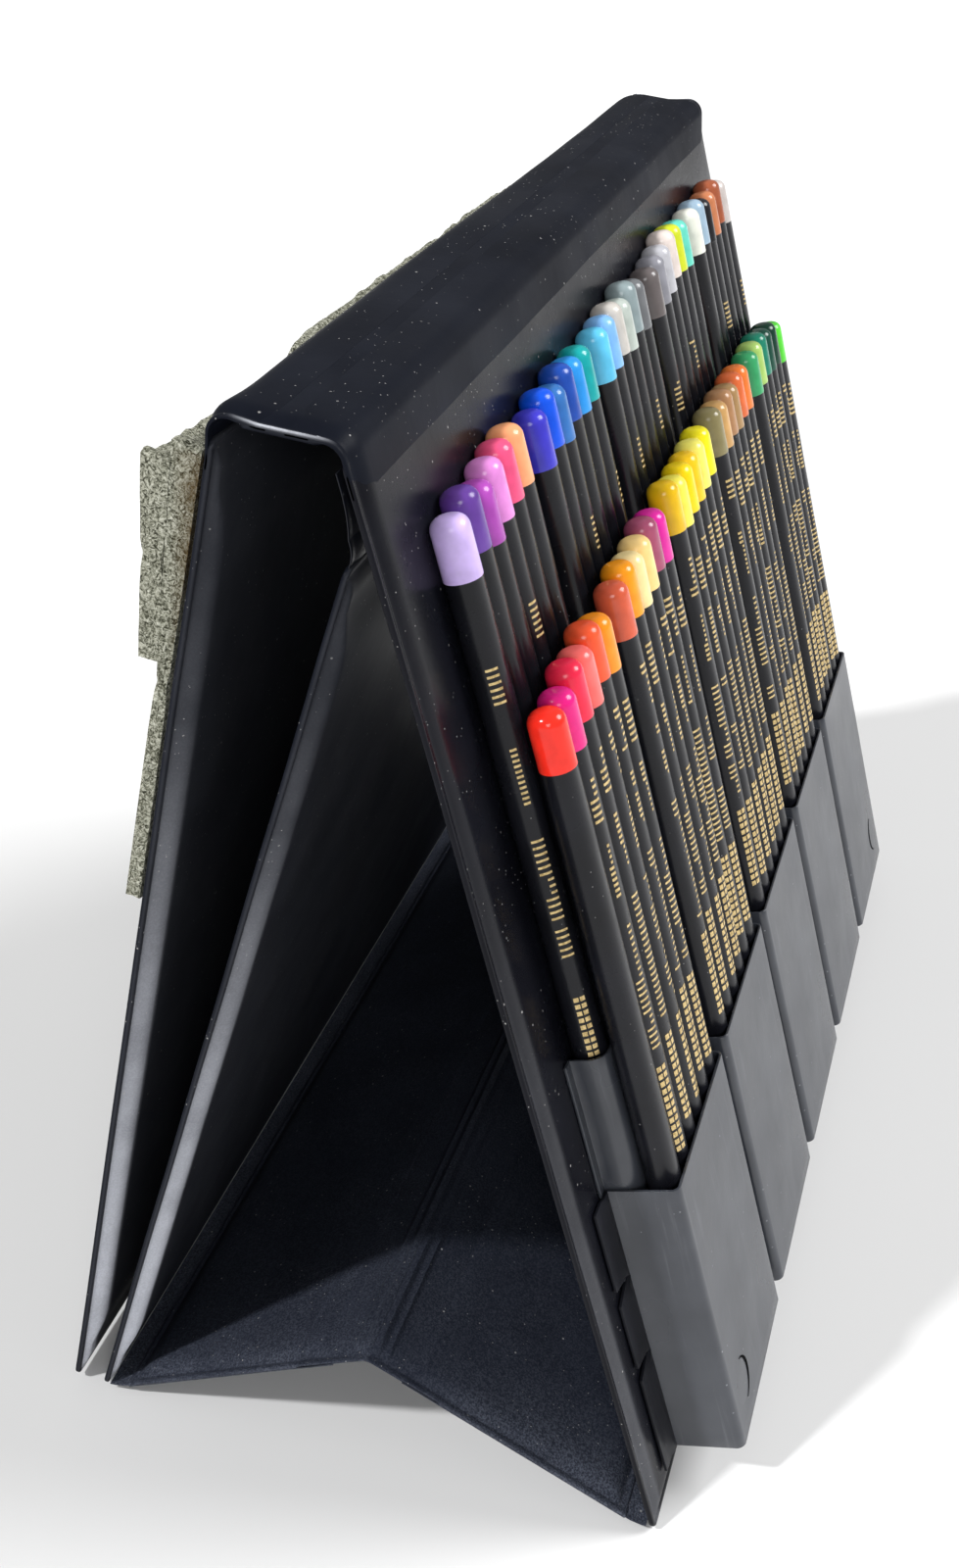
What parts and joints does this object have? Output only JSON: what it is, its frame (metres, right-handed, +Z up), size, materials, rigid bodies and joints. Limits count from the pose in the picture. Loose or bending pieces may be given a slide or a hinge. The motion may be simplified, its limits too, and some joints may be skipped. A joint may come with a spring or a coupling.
{
  "type": "easel pencil case",
  "caption": "Wrap-around pencil case of sealed vinyl panels folded open as a free-standing easel, with stepped pocket trays, rows of pencils and a folding prop and base.",
  "frame": {"origin": "middle of the bounding box at floor level, with the case standing open as an easel", "axes": "+X along the width from the near end to the far end, +Y from the pencils to the back, +Z up"},
  "size_m": [0.286, 0.1516, 0.2368],
  "materials": {
    "vinyl": "satin black vinyl",
    "board": "plain grey board",
    "tray": "satin black formed sheet",
    "foam": "open-cell foam",
    "pencils": "gloss black lacquer"
  },
  "bodies": {
    "front_panel": {"front_board": "board", "front_face_vinyl": "vinyl", "front_back_vinyl": "vinyl", "prop_attachment_strip": "vinyl", "spine_front_web": "vinyl", "prop_top_web": "vinyl", "front_foot_web": "vinyl", "rivet_left": "tray", "rivet_right": "tray", "rear_pocket_1": "tray", "rear_pocket_2": "tray", "rear_pocket_3": "tray", "rear_pocket_4": "tray", "rear_pocket_5": "tray", "front_pocket_1": "tray", "front_pocket_2": "tray", "front_pocket_3": "tray", "front_pocket_4": "tray", "front_pocket_5": "tray"},
    "spine": {"spine_board": "board", "spine_inner_vinyl": "vinyl", "spine_outer_vinyl": "vinyl", "spine_rear_web": "vinyl"},
    "cover": {"cover_board": "board", "cover_outer_vinyl": "vinyl", "cover_inner_vinyl": "vinyl", "foam_sheet": "foam", "foam_block": "foam"},
    "prop": {"prop_board": "board", "prop_front_vinyl": "vinyl", "prop_rear_vinyl": "vinyl", "prop_foot_web": "vinyl"},
    "base_front": {"base_front_board": "board", "base_front_lower_vinyl": "vinyl", "base_front_upper_vinyl": "vinyl", "base_centre_web": "vinyl"},
    "base_rear": {"base_rear_board": "board", "base_rear_lower_vinyl": "vinyl", "base_rear_upper_vinyl": "vinyl"},
    "rear_row_1": {"rear_pencils_1": "pencils"},
    "rear_row_2": {"rear_pencils_2": "pencils"},
    "rear_row_3": {"rear_pencils_3": "pencils"},
    "rear_row_4": {"rear_pencils_4": "pencils"},
    "rear_row_5": {"rear_pencils_5": "pencils"},
    "front_row_1": {"front_pencils_1": "pencils"},
    "front_row_2": {"front_pencils_2": "pencils"},
    "front_row_3": {"front_pencils_3": "pencils"},
    "front_row_4": {"front_pencils_4": "pencils"},
    "front_row_5": {"front_pencils_5": "pencils"}
  },
  "joints": [
    {"name": "spine_hinge", "type": "hinge", "parent": "front_panel", "child": "spine", "pos_m": [0, 0.00618, 0.23392], "axis": [-1, 0, 0], "range_deg": [-158.55, 0], "deforming": ["spine_front_web"]},
    {"name": "cover_hinge", "type": "hinge", "parent": "spine", "child": "cover", "pos_m": [0, 0.02738, 0.236], "axis": [-1, 0, 0], "range_deg": [-174.1, 0], "deforming": ["spine_rear_web", "foam_sheet", "foam_block"]},
    {"name": "prop_hinge", "type": "hinge", "parent": "front_panel", "child": "prop", "pos_m": [0, 0.00454, 0.21516], "axis": [1, 0, 0], "range_deg": [-29.5, 0], "deforming": ["prop_top_web", "base_centre_web"]},
    {"name": "base_front_hinge", "type": "hinge", "parent": "front_panel", "child": "base_front", "pos_m": [0, -0.05621, 0.00111], "axis": [1, 0, 0], "range_deg": [0, 48.59], "deforming": ["front_foot_web"]},
    {"name": "base_rear_hinge", "type": "hinge", "parent": "prop", "child": "base_rear", "pos_m": [0, 0.06429, 0.00111], "axis": [1, 0, 0], "range_deg": [-47.93, 0], "deforming": ["prop_foot_web"]},
    {"name": "rear_row_1_slide", "type": "slide", "parent": "front_panel", "child": "rear_row_1", "axis": [0, 0.273, 0.962], "range_m": [0, 0.06]},
    {"name": "rear_row_2_slide", "type": "slide", "parent": "front_panel", "child": "rear_row_2", "axis": [0, 0.273, 0.962], "range_m": [0, 0.06]},
    {"name": "rear_row_3_slide", "type": "slide", "parent": "front_panel", "child": "rear_row_3", "axis": [0, 0.273, 0.962], "range_m": [0, 0.06]},
    {"name": "rear_row_4_slide", "type": "slide", "parent": "front_panel", "child": "rear_row_4", "axis": [0, 0.273, 0.962], "range_m": [0, 0.06]},
    {"name": "rear_row_5_slide", "type": "slide", "parent": "front_panel", "child": "rear_row_5", "axis": [0, 0.273, 0.962], "range_m": [0, 0.06]},
    {"name": "front_row_1_slide", "type": "slide", "parent": "front_panel", "child": "front_row_1", "axis": [0, 0.273, 0.962], "range_m": [0, 0.068]},
    {"name": "front_row_2_slide", "type": "slide", "parent": "front_panel", "child": "front_row_2", "axis": [0, 0.273, 0.962], "range_m": [0, 0.068]},
    {"name": "front_row_3_slide", "type": "slide", "parent": "front_panel", "child": "front_row_3", "axis": [0, 0.273, 0.962], "range_m": [0, 0.068]},
    {"name": "front_row_4_slide", "type": "slide", "parent": "front_panel", "child": "front_row_4", "axis": [0, 0.273, 0.962], "range_m": [0, 0.068]},
    {"name": "front_row_5_slide", "type": "slide", "parent": "front_panel", "child": "front_row_5", "axis": [0, 0.273, 0.962], "range_m": [0, 0.068]}
  ],
  "couplings": [
    {"joint": "base_front_hinge", "follows": "prop_hinge", "ratio": -1.6465},
    {"joint": "base_rear_hinge", "follows": "prop_hinge", "ratio": 1.624}
  ]
}
